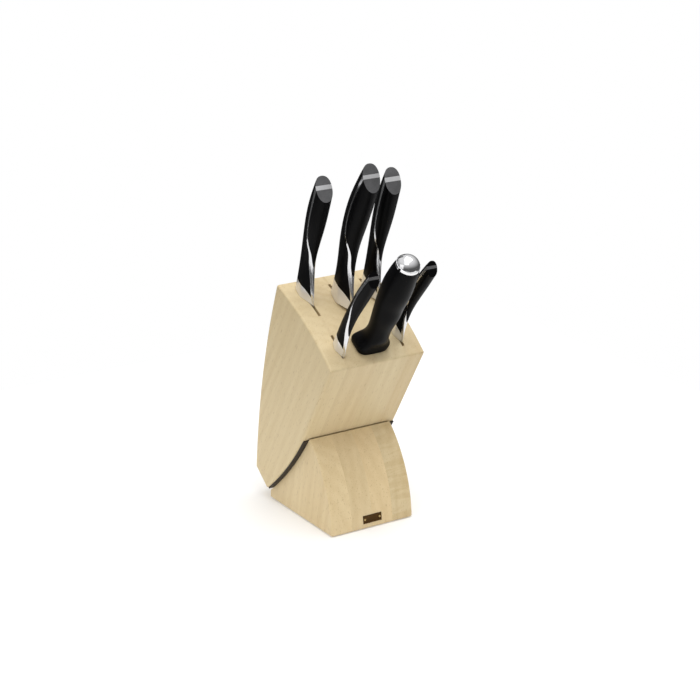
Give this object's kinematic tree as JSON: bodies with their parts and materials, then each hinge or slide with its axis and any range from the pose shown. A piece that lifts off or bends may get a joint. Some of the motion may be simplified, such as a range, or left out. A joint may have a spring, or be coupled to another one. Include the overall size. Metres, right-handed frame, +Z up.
{
  "type": "knife block with knives",
  "caption": "Leaning laminated wood block on a curved wooden base, holding forged kitchen knives and a sharpening steel in separate slots.",
  "frame": {"origin": "centre of the bounding box in plan, on the plane that the rubber feet stand on", "axes": "+Z up, +Y to the rear (the block leans towards -Y), +X to the right seen from the front"},
  "size_m": [0.11, 0.2126, 0.3771],
  "materials": {
    "beech_wood": "satin oiled",
    "liner_rubber": "matt",
    "foot_rubber": "matt",
    "forged_steel": "fine satin",
    "polished_band": "polished",
    "black_grip": "satin",
    "rod_steel": "fine lengthwise ribs",
    "polished_cap": "polished",
    "screw_steel": "zinc plated",
    "plate_bronze": "aged bronze",
    "pin_brass": "satin"
  },
  "bodies": {
    "block": {"block_board_left": "beech_wood", "block_board_centre_left": "beech_wood", "block_board_centre_right": "beech_wood", "block_board_right": "beech_wood", "seam_strips_left": "beech_wood", "seam_strips_middle": "beech_wood", "seam_strips_right": "beech_wood", "base_board_left": "beech_wood", "base_board_centre_left": "beech_wood", "base_board_centre_right": "beech_wood", "base_board_right": "beech_wood", "cradle_liner": "liner_rubber", "foot_front_left": "foot_rubber", "foot_front_right": "foot_rubber", "foot_rear_left": "foot_rubber", "foot_rear_right": "foot_rubber", "base_screws": "screw_steel", "base_dowels": "beech_wood", "base_plate": "plate_bronze", "base_plate_pins": "pin_brass"},
    "bread_knife": {"bread_knife_blade": "forged_steel", "bread_knife_tang_band": "polished_band", "bread_knife_spine_grip": "black_grip", "bread_knife_edge_grip": "black_grip"},
    "chefs_knife": {"chefs_knife_blade": "forged_steel", "chefs_knife_tang_band": "polished_band", "chefs_knife_spine_grip": "black_grip", "chefs_knife_edge_grip": "black_grip"},
    "carving_knife": {"carving_knife_blade": "forged_steel", "carving_knife_tang_band": "polished_band", "carving_knife_spine_grip": "black_grip", "carving_knife_edge_grip": "black_grip"},
    "paring_knife": {"paring_knife_blade": "forged_steel", "paring_knife_tang_band": "polished_band", "paring_knife_spine_grip": "black_grip", "paring_knife_edge_grip": "black_grip"},
    "utility_knife": {"utility_knife_blade": "forged_steel", "utility_knife_tang_band": "polished_band", "utility_knife_spine_grip": "black_grip", "utility_knife_edge_grip": "black_grip"},
    "sharpening_steel": {"steel_rod": "rod_steel", "steel_handle": "black_grip", "steel_cap": "polished_cap"}
  },
  "joints": [
    {"name": "bread_knife_draw", "type": "slide", "parent": "block", "child": "bread_knife", "axis": [0, -0.2672, 0.9636], "range_m": [0, 0.215]},
    {"name": "chefs_knife_draw", "type": "slide", "parent": "block", "child": "chefs_knife", "axis": [0, -0.2672, 0.9636], "range_m": [0, 0.215]},
    {"name": "carving_knife_draw", "type": "slide", "parent": "block", "child": "carving_knife", "axis": [0, -0.2672, 0.9636], "range_m": [0, 0.215]},
    {"name": "paring_knife_draw", "type": "slide", "parent": "block", "child": "paring_knife", "axis": [0, -0.5225, 0.8526], "range_m": [0, 0.09]},
    {"name": "utility_knife_draw", "type": "slide", "parent": "block", "child": "utility_knife", "axis": [0, -0.5225, 0.8526], "range_m": [0, 0.088]},
    {"name": "sharpening_steel_draw", "type": "slide", "parent": "block", "child": "sharpening_steel", "axis": [0, -0.5519, 0.8339], "range_m": [0, 0.172]}
  ]
}
